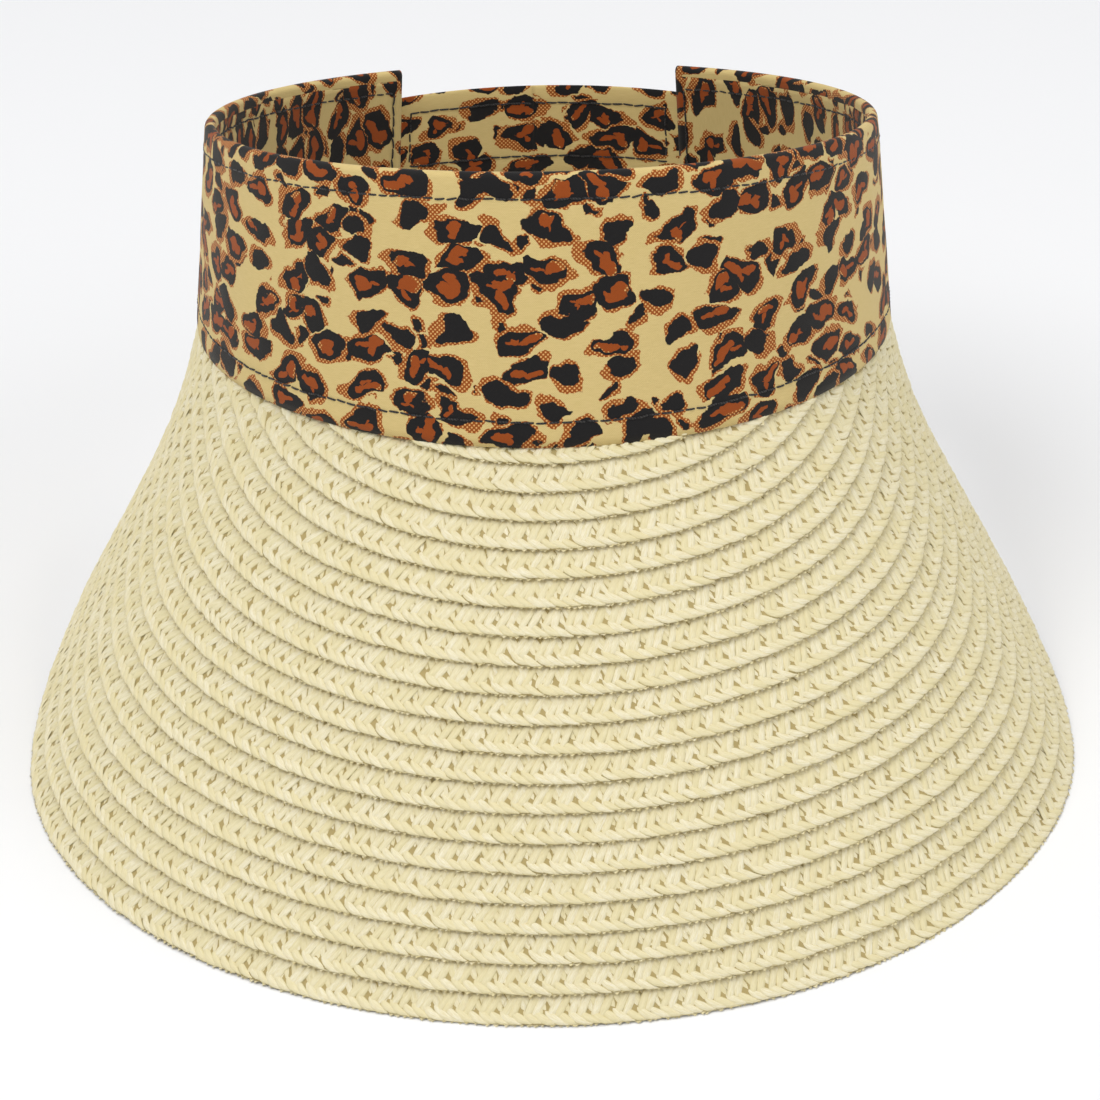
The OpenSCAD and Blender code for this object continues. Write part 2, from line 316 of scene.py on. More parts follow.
def slope(a):
    ax, ay = ROOT_W * cos(a), ROOT_D * sin(a)
    n = np.hypot(ax, ay)
    ax, ay = ax / n, ay / n
    drop = edge_lift(a) - REST_DEPTH - ROOT_D * cos(a) * SIN_TIP
    side = ax * SIN_TIP
    reach = np.sqrt(side**2 + COS_TIP**2)
    want = (drop / np.maximum(rib_len(a), 1) + sin(lean(a)) * ay * SIN_TIP) / cos(lean(a))
    resting = np.degrees(np.arccos(np.clip(want / reach, -1, 1)) - np.arctan2(COS_TIP, side))
    w = ramp((a - SETTLE_FROM) / (SETTLE_TO - SETTLE_FROM))
    return np.where(w >= 1, SIDE_SLOPE, (1 - w) * resting + w * SIDE_SLOPE)


def brim(t, dist, high):
    """Points on the brim: angle, distance out along the rib, height above the rib."""
    a = np.abs(t)
    root = vec(ROOT_W * sin(a), -ROOT_D * cos(a), 0.0)
    along = vec(ROOT_W * cos(a), ROOT_D * sin(a), 0.0)
    along /= np.linalg.norm(along, axis=-1, keepdims=True)
    outward = vec(along[..., 1], -along[..., 0], 0.0)
    turn = RIB_ARCH / BRIM_LEN
    first = slope(a) - turn * rib_len(a) / 2
    here = first + turn * dist
    run = (sin(here) - sin(first)) / (turn * math.pi / 180)
    fall = (cos(first) - cos(here)) / (turn * math.pi / 180)
    up = vec(0.0, 0.0, 1.0)
    c, s = cos(lean(a))[..., None], sin(lean(a))[..., None]
    p = root + c * (outward * run[..., None] - up * fall[..., None]) + s * along * dist[..., None]
    p = p + high[..., None] * (outward * sin(here)[..., None] + up * cos(here)[..., None])
    return vec(np.where(t < 0, -p[..., 0], p[..., 0]), p[..., 1], p[..., 2])


# ---------- placing ----------


def tipped(p):
    return vec(p[..., 0], p[..., 1] * COS_TIP + p[..., 2] * SIN_TIP, p[..., 2] * COS_TIP - p[..., 1] * SIN_TIP)


def _y(p):
    return float(tipped(p)[..., 1].min())


_zero, _edge = np.zeros(1), np.full(1, BRIM_LEN)
FRONT_Y = min(_y(brim(_zero, _edge, _zero)), _y(brim(_zero, _edge, _zero + ROW_T)))
BACK_Y = _y(wall(180.0, STRAP_Z + STRAP_W, strap_level(180.0) + STRAP_T))
SHIFT_Y = -(FRONT_Y + BACK_Y) / 2


def placed(p):
    return (tipped(p) + np.array([0, SHIFT_Y, REST_DEPTH])) * MM


# ---------- meshes ----------


def mesh_object(name, points, quads, uv=None, facts=None, material=None):
    """A smooth mesh of quads; uv and facts hold one value for each point."""
    me = bpy.data.meshes.new(name)
    points = np.asarray(points, np.float32).reshape(-1, 3)
    quads = np.asarray(quads, np.int32).reshape(-1, 4)
    me.vertices.add(len(points))
    me.vertices.foreach_set("co", points.ravel())
    me.loops.add(quads.size)
    me.loops.foreach_set("vertex_index", quads.ravel())
    me.polygons.add(len(quads))
    me.polygons.foreach_set("loop_start", np.arange(0, quads.size, 4, dtype=np.int32))
    me.polygons.foreach_set("use_smooth", np.ones(len(quads), bool))
    me.update(calc_edges=True)
    if uv is not None:
        layer = me.uv_layers.new(name="UVMap")
        flat = np.asarray(uv, np.float32).reshape(-1, 2)[quads.ravel()]
        layer.uv.foreach_set("vector", flat.ravel())
    for key, value in (facts or {}).items():
        at = me.attributes.new(key, "FLOAT", "POINT")
        at.data.foreach_set("value", np.asarray(value, np.float32).ravel())
    if material is not None:
        me.materials.append(material)
    o = bpy.data.objects.new(name, me)
    bpy.context.scene.collection.objects.link(o)
    return o


def grid_quads(rows, cols, wrap=False):
    """Quads of a rows by cols grid of points; wrap joins the last column to the first."""
    i, j = np.meshgrid(np.arange(rows - 1), np.arange(cols if wrap else cols - 1), indexing="ij")
    k = (j + 1) % cols
    return np.stack(
        [i * cols + j, i * cols + k, (i + 1) * cols + k, (i + 1) * cols + j], -1
    ).reshape(-1, 4)


def many_grids(count, rows, cols, wrap=False):
    one = grid_quads(rows, cols, wrap)
    return (one[None] + (np.arange(count) * rows * cols)[:, None, None]).reshape(-1, 4)


class Build:
    """Collects grids of points into one mesh."""

    def __init__(self):
        self.points, self.quads, self.uv, self.tone, self.n = [], [], [], [], 0

    def add(self, points, quads, uv, tone):
        count = points.reshape(-1, 3).shape[0]
        self.points.append(points.reshape(-1, 3))
        self.quads.append(quads + self.n)
        self.uv.append(np.broadcast_to(uv, points.shape[:-1] + (2,)).reshape(-1, 2))
        self.tone.append(np.broadcast_to(tone, points.shape[:-1]).reshape(-1))
        self.n += count

    def make(self, name, material):
        return mesh_object(
            name,
            placed(np.concatenate(self.points)),
            np.concatenate(self.quads),
            np.concatenate(self.uv),
            {"tone": np.concatenate(self.tone)},
            material,
        )


# ---------- material helpers ----------


# Radians of thread twist for each millimetre, and of plain weave for each metre.
THREAD_TWIST, WEAVE_PER_M = 9.0, 6000.0


class Nodes:
    """Short ways to write a node material."""

    def __init__(self, name):
        self.mat = bpy.data.materials.new(name)
        self.mat.use_nodes = True
        self.tree = self.mat.node_tree
        self.shader = self.tree.nodes["Principled BSDF"]

    def node(self, kind, **values):
        n = self.tree.nodes.new(kind)
        for key, value in values.items():
            setattr(n, key, value)
        return n

    def put(self, socket, value):
        if isinstance(value, bpy.types.NodeSocket):
            self.tree.links.new(value, socket)
        elif isinstance(value, (tuple, list)) and len(value) == 3 and socket.type == "RGBA":
            socket.default_value = (*value, 1)
        else:
            socket.default_value = value

    def math(self, op, a, b=0.0):
        n = self.node("ShaderNodeMath", operation=op)
        self.put(n.inputs[0], a)
        self.put(n.inputs[1], b)
        return n.outputs[0]

    def mix(self, share, a, b, blend="MIX"):
        n = self.node("ShaderNodeMix", data_type="RGBA", blend_type=blend, clamp_factor=True)
        self.put(n.inputs[0], share)
        self.put(n.inputs[6], a)
        self.put(n.inputs[7], b)
        return n.outputs[2]

    def step(self, value, low, high, top=1.0, bottom=0.0):
        n = self.node("ShaderNodeMapRange", interpolation_type="SMOOTHSTEP", clamp=True)
        for i, v in enumerate((value, low, high, bottom, top)):
            self.put(n.inputs[i], v)
        return n.outputs[0]

    def noise(self, vector, scale, detail=2.0, rough=0.5, out=0):
        n = self.node("ShaderNodeTexNoise", noise_dimensions="3D")
        self.put(n.inputs["Vector"], vector)
        n.inputs["Scale"].default_value = scale
        n.inputs["Detail"].default_value = detail
        n.inputs["Roughness"].default_value = rough
        return n.outputs[out]

    def xyz(self, vector):
        n = self.node("ShaderNodeSeparateXYZ")
        self.put(n.inputs[0], vector)
        return n.outputs

    def join(self, x, y, z=0.0):
        n = self.node("ShaderNodeCombineXYZ")
        for i, v in enumerate((x, y, z)):
            self.put(n.inputs[i], v)
        return n.outputs[0]

    def uv(self):
        return self.node("ShaderNodeUVMap", uv_map="UVMap").outputs[0]

    def fact(self, key):
        return self.node("ShaderNodeAttribute", attribute_name=key).outputs["Fac"]

    def bump(self, height, strength, distance):
        n = self.node("ShaderNodeBump")
        n.inputs["Strength"].default_value = strength
        n.inputs["Distance"].default_value = distance
        self.put(n.inputs["Height"], height)
        self.put(self.shader.inputs["Normal"], n.outputs[0])

    def finish(self, colour, rough, sheen=0.0, sheen_tint=(1, 1, 1), specular=0.3):
        s = self.shader.inputs
        self.put(s["Base Color"], colour)
        self.put(s["Roughness"], rough)
        s["Specular IOR Level"].default_value = specular
        s["Sheen Weight"].default_value = sheen
        s["Sheen Tint"].default_value = (*sheen_tint, 1)
        return self.mat


def srgb(r, g, b):
    return tuple((c / 255 / 12.92) if c <= 10 else ((c / 255 + 0.055) / 1.055) ** 2.4 for c in (r, g, b))


def straw_material():
    """Paper straw: long fibres along each strand, a tone of its own for each strand, painted shade darkening each
    strand towards its sides, and painted shade colouring the core between strands.
    """
    m = Nodes("paper_straw")
    along, across, _ = m.xyz(m.uv())
    tone = m.fact("tone")
    fibre = m.noise(
        m.join(
            m.math("MULTIPLY", along, 0.35), m.math("MULTIPLY", across, 5.0), m.math("MULTIPLY", tone, 40.0)
        ),
        1.6, 3.0, 0.6,
    )
    fleck = m.noise(m.join(along, across, m.math("MULTIPLY", tone, 17.0)), 1.1, 2.0)
    pale = m.mix(m.step(tone, 0.1, 1.0), srgb(233, 222, 180), srgb(244, 237, 212))
    colour = m.mix(m.step(fibre, 0.25, 0.75), srgb(222, 209, 160), pale)
    colour = m.mix(m.step(fleck, 0.55, 0.8, 0.35), colour, srgb(226, 206, 166))
    # Painted shade: each strand darkens to olive towards its sides, standing in for the shadow in the gaps where
    # strands meet.
    side = m.math("ABSOLUTE", across)
    colour = m.mix(m.step(side, 0.72, 1.02, 0.75), colour, srgb(196, 182, 126))
    # Painted shade: points with tone below zero (the braid's core) take a dark olive colour, standing in for the shade
    # in the gaps between strands and rows.
    core_shade = m.step(tone, 0.05, -0.05)
    colour = m.mix(core_shade, colour, srgb(178, 158, 104))
    m.bump(fibre, 0.35, 0.0001)
    return m.finish(colour, 0.62, sheen=0.08, sheen_tint=(1, 0.97, 0.85), specular=0.28)


def print_layer(m, u, v, cell, seed):
    """Nearest spot of a jittered field: its offset in millimetres and three random numbers."""
    at = m.join(m.math("DIVIDE", u, cell[0]), m.math("DIVIDE", v, cell[1]), seed)
    n = m.node("ShaderNodeTexVoronoi", voronoi_dimensions="2D", feature="F1")
    m.put(n.inputs["Vector"], at)
    n.inputs["Scale"].default_value = 1.0
    n.inputs["Randomness"].default_value = 0.7
    px, py, _ = m.xyz(n.outputs["Position"])
    ax, ay, _ = m.xyz(at)
    r, g, b = m.xyz(n.outputs["Color"])
    x = m.math("MULTIPLY", m.math("SUBTRACT", ax, px), cell[0])
    y = m.math("MULTIPLY", m.math("SUBTRACT", ay, py), cell[1])
    return x, y, r, g, b


def polar(m, x, y, turn, half_a, half_b):
    """Distance from the spot's centre in its own ellipse's units, and the angle there."""
    c, s = m.math("COSINE", turn), m.math("SINE", turn)
    p = m.math("ADD", m.math("MULTIPLY", x, c), m.math("MULTIPLY", y, s))
    q = m.math("SUBTRACT", m.math("MULTIPLY", y, c), m.math("MULTIPLY", x, s))
    p, q = m.math("DIVIDE", p, half_a), m.math("DIVIDE", q, half_b)
    r = m.math("SQRT", m.math("ADD", m.math("MULTIPLY", p, p), m.math("MULTIPLY", q, q)))
    return r, m.math("ARCTAN2", q, p)


def wave(m, angle, times, phase, size):
    return m.math(
        "MULTIPLY", m.math("SINE", m.math("ADD", m.math("MULTIPLY", angle, float(times)), phase)), size
    )


def total(m, *terms):
    value = terms[0]
    for t in terms[1:]:
        value = m.math("ADD", value, t)
    return value


def print_material(name, swap=False, painted_shade=1.0, offset=(0.0, 0.0)):
    """Spotted cotton: tan ground, dark broken rings round rust fills, and a netted rust halo; a shade factor below 1
    darkens it all as painted shade.
    """
    m = Nodes(name)
    u, v, _ = m.xyz(m.uv())
    if swap:
        u, v = v, u
    u, v = m.math("ADD", u, offset[0]), m.math("ADD", v, offset[1])
    place = m.join(u, v)
    bend = m.noise(place, 0.16, 1.0, 0.5, out=1)
    fine = m.noise(place, 0.8, 1.0, 0.5, out=1)
    bx, by, _ = m.xyz(bend)
    fx, fy, _ = m.xyz(fine)
    wu = total(
        m, u, m.math("MULTIPLY", m.math("SUBTRACT", bx, 0.5), 6.0),
        m.math("MULTIPLY", m.math("SUBTRACT", fx, 0.5), 1.3),
    )
    wv = total(
        m, v, m.math("MULTIPLY", m.math("SUBTRACT", by, 0.5), 4.0),
        m.math("MULTIPLY", m.math("SUBTRACT", fy, 0.5), 1.1),
    )

    x, y, r, g, b = print_layer(m, wu, wv, (12.2, 8.0), 0.0)
    solid = m.step(b, 0.66, 0.67)
    size = m.math("SUBTRACT", total(m, 0.91, m.math("MULTIPLY", g, 0.38)), m.math("MULTIPLY", solid, 0.22))
    turn = m.math("MULTIPLY", m.math("SUBTRACT", r, 0.45), 1.3)
    rho, ang = polar(m, x, y, turn, m.math("MULTIPLY", size, 4.7), m.math("MULTIPLY", size, 2.9))
    edge = total(
        m, 1.0, wave(m, ang, 2, m.math("MULTIPLY", r, 31.0), 0.14),
        wave(m, ang, 3, m.math("MULTIPLY", g, 37.0), 0.13),
    )
    d = m.math("MULTIPLY", m.math("SUBTRACT", rho, edge), m.math("MULTIPLY", size, 3.4))
    thick = total(
        m, 1.12,
        wave(m, ang, 1, m.math("MULTIPLY", b, 41.0), 0.50),
        wave(m, ang, 2, m.math("MULTIPLY", g, 53.0), 0.34),
        wave(m, ang, 3, m.math("MULTIPLY", r, 61.0), 0.26),
    )
    ring = m.math("SUBTRACT", m.math("ABSOLUTE", m.math("ADD", d, thick)), thick)
    dark = total(m, m.math("MULTIPLY", ring, m.math("SUBTRACT", 1.0, solid)), m.math("MULTIPLY", d, solid))
    fill = m.math("ADD", d, total(m, 0.85, wave(m, ang, 1, m.math("MULTIPLY", r, 23.0), 0.45)))
    halo = m.math(
        "SUBTRACT", d,
        total(
            m, 0.85, wave(m, ang, 1, m.math("MULTIPLY", g, 29.0), 0.65),
            wave(m, ang, 2, m.math("MULTIPLY", b, 43.0), 0.55),
        ),
    )

    x2, y2, r2, g2, b2 = print_layer(m, total(m, wu, 3.7), total(m, wv, 2.9), (6.9, 5.1), 0.0)
    size2 = total(m, 0.78, m.math("MULTIPLY", g2, 0.6))
    rho2, ang2 = polar(
        m, x2, y2, m.math("MULTIPLY", m.math("SUBTRACT", r2, 0.5), 2.4), m.math("MULTIPLY", size2, 1.9),
        m.math("MULTIPLY", size2, 1.15),
    )
    edge2 = total(
        m, 1.0, wave(m, ang2, 2, m.math("MULTIPLY", r2, 27.0), 0.2),
        wave(m, ang2, 3, m.math("MULTIPLY", b2, 33.0), 0.15),
    )
    d2 = m.math("MULTIPLY", m.math("SUBTRACT", rho2, edge2), m.math("MULTIPLY", size2, 1.45))
    clear = m.math("SUBTRACT", 1.15, d)
    gone = m.math("MULTIPLY", m.step(b2, 0.78, 0.76), 5.0)
    dark2 = m.math("MAXIMUM", m.math("ADD", d2, gone), clear)
    halo2 = m.math(
        "MAXIMUM", total(m, d2, gone, -0.7, wave(m, ang2, 1, m.math("MULTIPLY", r2, 47.0), 0.6)),
        m.math("SUBTRACT", clear, 0.5),
    )

    soft = 0.09
    dark_in = m.step(m.math("MINIMUM", dark, dark2), soft, -soft)
    fill_in = m.math("MULTIPLY", m.step(fill, soft, -soft), m.math("SUBTRACT", 1.0, solid))
    halo_in = m.step(m.math("MINIMUM", halo, halo2), soft, -soft)
    n1 = m.math("SINE", m.math("MULTIPLY", m.math("ADD", u, v), 5.9))
    n2 = m.math("SINE", m.math("MULTIPLY", m.math("SUBTRACT", u, v), 5.9))
    net = m.step(m.math("ADD", n1, n2), 0.35, 1.1)

    warp = m.math("SINE", m.math("MULTIPLY", u, 15.0))
    weft = m.math("SINE", m.math("MULTIPLY", v, 15.0))
    weave = m.math("MULTIPLY", warp, weft)
    slub = m.noise(m.join(m.math("MULTIPLY", u, 0.25), m.math("MULTIPLY", v, 4.0)), 1.5, 2.0)
    ground = m.mix(m.step(weave, -0.8, 0.9), srgb(200, 175, 110), srgb(220, 196, 134))
    ground = m.mix(m.step(slub, 0.3, 0.75, 0.5), ground, srgb(224, 200, 140))
    netted = m.mix(net, srgb(150, 76, 22), srgb(222, 172, 104))
    colour = m.mix(halo_in, ground, netted)
    colour = m.mix(fill_in, colour, m.mix(m.step(weave, -1, 1, 0.5), srgb(146, 66, 16), srgb(166, 82, 26)))
    colour = m.mix(dark_in, colour, m.mix(m.step(weave, 0.2, 1.0, 0.4), srgb(22, 21, 22), srgb(44, 41, 40)))
    # Painted shade: the whole print is multiplied by the shade factor, used for the lining on the band's shaded
    # inside.
    if painted_shade != 1.0:
        colour = m.mix(1.0, colour, (painted_shade, painted_shade, painted_shade), "MULTIPLY")
    m.bump(m.math("ADD", m.math("MULTIPLY", weave, 0.5), m.math("MULTIPLY", slub, 0.8)), 0.35, 0.00012)
    return m.finish(colour, 0.78, sheen=0.12, sheen_tint=(1, 0.93, 0.8), specular=0.2)


def thread_material(name, dark, light):
    m = Nodes(name)
    along, round_it, _ = m.xyz(m.uv())
    ply = m.math("SINE", m.math("ADD", m.math("MULTIPLY", along, THREAD_TWIST), m.math("MULTIPLY", round_it, 6.283)))
    colour = m.mix(m.step(ply, -0.6, 0.9), dark, light)
    m.bump(ply, 0.5, 0.00008)
    return m.finish(colour, 0.55, sheen=0.15, specular=0.35)


def plain_weave_material(name, low, high):
    m = Nodes(name)
    place = m.node("ShaderNodeTexCoord").outputs["Object"]
    u, _, w = m.xyz(place)
    pattern = m.math(
        "MULTIPLY", m.math("SINE", m.math("MULTIPLY", u, WEAVE_PER_M)),
        m.math("SINE", m.math("MULTIPLY", w, WEAVE_PER_M)),
    )
    grain = m.noise(place, 900.0, 3.0)
    colour = m.mix(m.step(m.math("ADD", pattern, grain), -0.2, 1.3), low, high)
    m.bump(m.math("ADD", pattern, grain), 0.5, 0.0002)
    return m.finish(colour, 0.85, sheen=0.2)


STRAW = straw_material()
CLOTH = print_material("spotted_cotton")
# The lining's print is darkened to 0.9 as painted shade for the shaded inside of the band.
LINING = print_material("spotted_cotton_lining", swap=True, painted_shade=0.9, offset=(31.0, 17.0))
STRAP_CLOTH = print_material("spotted_cotton_strap", offset=(57.0, 43.0))
BLACK_THREAD = thread_material("black_thread", srgb(14, 13, 13), srgb(52, 49, 47))
STRAW_THREAD = thread_material("straw_thread", srgb(188, 176, 136), srgb(226, 216, 182))
BOARD = plain_weave_material("nonwoven_board", srgb(196, 192, 182), srgb(232, 229, 220))
TAPE = plain_weave_material("tape_black", srgb(14, 13, 13), srgb(46, 43, 41))


# ---------- braid ----------

ROWS = 20
REPEAT = 5.1
ROW_W = PITCH + ROW_OVERLAP

# Strands of one repeat: (u, v, height, width) stations, with u along the row and v inwards from its edge.
RISING = [
    (-0.55, 1.3, 0.72, 1.2), (-0.1, 2.2, 0.98, 1.6), (0.5, 3.3, 1.22, 1.9), (1.2, 4.8, 1.3, 1.95),
    (1.95, 6.3, 1.22, 1.9), (2.75, 8.1, 0.9, 1.7),
]
FALLING = [
    (1.6, 8.2, 0.9, 1.6), (2.7, 6.9, 1.08, 1.95), (3.5, 5.6, 1.08, 2.0), (4.15, 4.3, 0.98, 1.95),
    (4.7, 3.2, 0.84, 1.75), (5.1, 2.4, 0.7, 1.3),
]
LEAF = [
    (-1.25, 3.4, 0.74, 1.0), (-0.75, 2.8, 1.0, 1.45), (-0.05, 2.05, 1.22, 1.85), (0.8, 1.42, 1.3, 1.95),
    (1.8, 0.92, 1.22, 1.6), (2.9, 0.55, 1.0, 0.9), (3.9, 0.35, 0.75, 0.45),
]
STRANDS = [
    (RISING, 0.0), (RISING, 1.72), (FALLING, 0.0), (FALLING, 1.7), (FALLING, 3.4), (LEAF, 0.35), (LEAF, 2.9)
]
SIDES = np.array([-1.0, -0.62, 0.0, 0.62, 1.0])
DROPS = np.array([0.42, 0.11, 0.0, 0.11, 0.42])


def wobble(t, dist):
    """The brim's own slight waviness."""
    return (
        0.35 * np.sin(0.061 * t + 0.02 * dist + 0.7) * np.sin(0.043 * dist + 1.1)
        + 0.2 * np.sin(0.17 * t - 0.05 * dist)
    )


class Row:
    """Row k of the braid, counted inwards from the brim's edge."""

    def __init__(self, k):
        self.out = (k - 1) * PITCH
        reach = float(rib_angle(self.out + 0.3))
        self.t = np.linspace(-reach, reach, max(60, int(reach * 4)))
        a = np.abs(self.t)
        mid = brim(self.t, np.maximum(rib_len(a) - self.out - PITCH / 2, 0.0), np.zeros_like(a))
        self.s = np.concatenate([[0], np.cumsum(np.linalg.norm(np.diff(mid, axis=0), axis=1))])
        self.s -= self.s[-1] / 2
        self.half = self.s[-1]

    def point(self, u, v, h):
        t = np.interp(u, self.s, self.t)
        whole = rib_len(np.abs(t)) - self.out
        dist = np.maximum(whole - v, 0.0)
        high = h - ROW_STEP * (whole - dist) / PITCH + wobble(t, dist)
        return brim(t, dist, high)


def add_strands(build, row, rng, top):
    """The strands on one face of a row of braid."""
    count = int(2 * row.half / REPEAT) + 3
    drift = np.cumsum(rng.normal(0, 0.10, count))
    starts = -row.half - REPEAT + rng.uniform(0, REPEAT) + np.arange(count) * REPEAT + drift - drift.mean()
    for strand, offset in STRANDS:
        s = np.array(strand)
        n = len(s)
        line = np.broadcast_to(s[None, :, :2], (count, n, 2)).copy()
        line[..., 0] += (starts + offset + rng.normal(0, 0.13, count))[:, None]
        line[..., 0] += rng.normal(0, 0.07, (count, 1)) * (s[None, :, 1] - 3.0)
        line[..., 1] += rng.normal(0, 0.08, (count, 1))
        line += rng.normal(0, 0.04, (count, n, 2))
        height = s[None, :, 2] + rng.normal(0, 0.05, (count, 1)) + rng.normal(0, 0.02, (count, n))
        width = s[None, :, 3] * rng.uniform(0.9, 1.1, (count, 1))
        along = np.gradient(line, axis=1)
        along /= np.linalg.norm(along, axis=-1, keepdims=True)
        side = np.stack([-along[..., 1], along[..., 0]], -1)
        p = (
            line[:, :, None, :]
            + side[:, :, None, :] * (SIDES[None, None, :, None] * width[:, :, None, None] / 2)
        )
        twist = rng.normal(0, 0.07, (count, 1, 1)) * SIDES[None, None, :]
        h = np.minimum(height[:, :, None] - DROPS[None, None, :] + twist, ROW_T + 0.12)
        u, v = p[..., 0], p[..., 1]
        if not top:
            v, h = ROW_W - v, ROW_T - h
        keep = (np.abs(u) < row.half - 0.2).all(axis=(1, 2))
        u, v, h = u[keep], v[keep], h[keep]
        if not len(u):
            continue
        length = np.cumsum(np.hypot(*np.diff(s[:, :2], axis=0, prepend=s[:1, :2]).T))
        uv = np.empty(u.shape + (2,))
        uv[..., 0] = length[None, :, None] + rng.uniform(0, 500, (len(u), 1, 1))
        uv[..., 1] = SIDES[None, None, :]
        quads = many_grids(len(u), n, len(SIDES))
        build.add(
            row.point(u, v, h), quads[:, ::-1] if top else quads, uv, rng.uniform(0.12, 1.0, (len(u), 1, 1))
        )


# Cross-section of each row's core as (v, height) points. The core is coloured dark olive as painted shade, filling the
# gaps between strands and under the next row's edge.
CORE = np.array(
    [
        (0.3, 0.5), (0.3, 0.75), (2.5, 0.8), (PITCH + 0.25, 0.8), (PITCH + 0.5, ROW_STEP + 0.55),
        (ROW_W - 0.5, ROW_STEP + 0.55),
    ]
    + [(ROW_W - 0.3, 0.72), (ROW_W - 0.3, 0.5), (ROW_W - 2.5, 0.46), (2.5, 0.46)]
)


def braid_piece(k, rng):
    """One row: the strands of both faces round a thin core, coloured olive as painted shade, which closes the gaps
    between them and, with a ridge under the next row's edge, the gap to that row."""
    row = Row(k)
    build = Build()
    n = max(24, int(2 * row.half / 3.0))
    u = np.broadcast_to(np.linspace(-row.half + 0.4, row.half - 0.4, n)[:, None], (n, len(CORE)))
    left = rib_len(np.abs(np.interp(u, row.s, row.t))) - row.out - PITCH
    high = np.minimum(CORE[:, 1], 0.8 + ROW_STEP * np.clip(left / 2 - 0.5, 0, 1) * (k < ROWS))
    core = row.point(u, np.broadcast_to(CORE[:, 0], u.shape), high)
    # Tone -0.3 marks the core, which the straw material colours dark olive as painted shade.
    build.add(core, grid_quads(n, len(CORE), wrap=True)[:, ::-1], np.stack([u, 0 * u], -1), -0.3)
    add_strands(build, row, rng, True)
    add_strands(build, row, rng, False)
    return build.make(f"braid_{k:02d}", STRAW)


def settle(piece, body, nodes, slot):
    """The piece rides on its body, stands for its CAD nodes and takes its finish from a slot."""
    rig.ride(piece, body)
    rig.replaces(piece, *nodes)
    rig.slot(piece, slot)


rng = np.random.default_rng(837)
for k in range(1, ROWS + 1):
    settle(braid_piece(k, rng), "visor", [f"braid_row_{k:02d}"], "straw")


# ---------- headband fabric ----------


def pucker(s, d):
    """How far the cloth pulls in at distance d from a seam, rippling along it."""
    ripple = 0.6 + 0.4 * np.sin(s * 2 * math.pi / 2.9 + 0.8 * np.sin(s * 0.37))
    return (
        -SEAM_DEPTH * np.exp(-((d / 0.55) ** 2)) * (0.7 + 0.3 * ripple)
        + 0.10 * np.exp(-(((np.abs(d) - 1.8) / 1.0) ** 2)) * ripple
    )


def ease(s, up):
    """Broad soft unevenness of the cloth."""
    return (
        0.14 * np.sin(s * 0.071 + 0.09 * up) + 0.10 * np.sin(s * 0.163 - 0.13 * up + 1.3)
        + 0.05 * np.sin(s * 0.41 + 0.2 * up)
    )


SEAM_DEPTH = 0.28
CROWN = 1.35


def face_pull(t, up, top):
    """How far the cloth of the band's face lies off its plain wall, out being positive."""
    s, h = band_length(t), band_slant(t)
    pull = pucker(s, up - STITCH_INSET) + pucker(s + 1.3, up - (h - STITCH_INSET)) + ease(s, up)
    return pull * ramp(up / 3.0) * ramp((top - up) / 3.0)


def both(x, y):
    return np.concatenate([x, y[:, ::-1]], 1)


def cover_ring(t):
    """The outer fabric: up the outer face, over the rim and down inside to its turned edge."""
    t = t[:, None]
    h = band_slant(t)
    face = np.linspace(0, 1, 30)[None, :] * (h - CROWN)
    face_out = face_pull(t, face, h - CROWN) - 0.35 * (1 - ramp(face / 1.2))
    ang = np.linspace(0, 180, 9)[None, 1:-1] + 0 * h
    down = h - CROWN - np.linspace(0, 1, 4)[None, :] * 1.6
    up = np.concatenate([face, h - CROWN + CROWN * sin(ang), down], 1)
    out = np.concatenate([face_out, -WALL_T / 2 * (1 - cos(ang)), 0 * down - WALL_T], 1)
    back_up = np.concatenate([face, h - CROWN + (CROWN - COVER_T) * sin(ang), down], 1)
    half = WALL_T / 2 - COVER_T
    back_out = np.concatenate(
        [face_out - COVER_T, -WALL_T / 2 + half * cos(ang), 0 * down - WALL_T + LINING_T], 1
    )
    run = np.cumsum(np.hypot(np.diff(up, axis=1, prepend=0), np.diff(out, axis=1, prepend=0)), 1)
    return both(up, back_up), both(out, back_out), both(run, run)


def lining_ring(t):
    """The lining: a flat layer inside, tucked under the turned edge of the outer fabric."""
    t = t[:, None]
    h = band_slant(t)
    face = np.linspace(0, 1, 28)[None, :] * (h - 2.6)
    front = -WALL_T - face_pull(t, face, h - 2.6) + 0.3 * (1 - ramp(face / 1.2))
    back = np.minimum(front + LINING_T, -WALL_T + LINING_T + 0.05)
    return both(face, face), both(front, back), both(face, face)


def end_caps(count, length):
    """Quads that close both ends of a swept ring by joining its front points to its back points."""
    i = np.arange(count // 2 - 1)
    first = np.stack([i, i + 1, count - 2 - i, count - 1 - i], -1)
    return np.concatenate([first, first[:, ::-1] + (length - 1) * count])


def band_piece(name, ring, material):
    """A closed cloth shell swept round the headband."""
    low, high = float(band_length(-BAND_END)), float(band_length(BAND_END))
    s = np.linspace(low, high, int((high - low) / 1.6))
    t = band_angle(s)
    up, out, run = ring(t)
    uv = np.stack([np.broadcast_to(s[:, None], up.shape), run], -1)
    quads = np.concatenate([grid_quads(len(t), up.shape[1], wrap=True)[:, ::-1], end_caps(up.shape[1], len(t))])
    return mesh_object(name, placed(wall(t[:, None], up, out)), quads, uv, None, material)


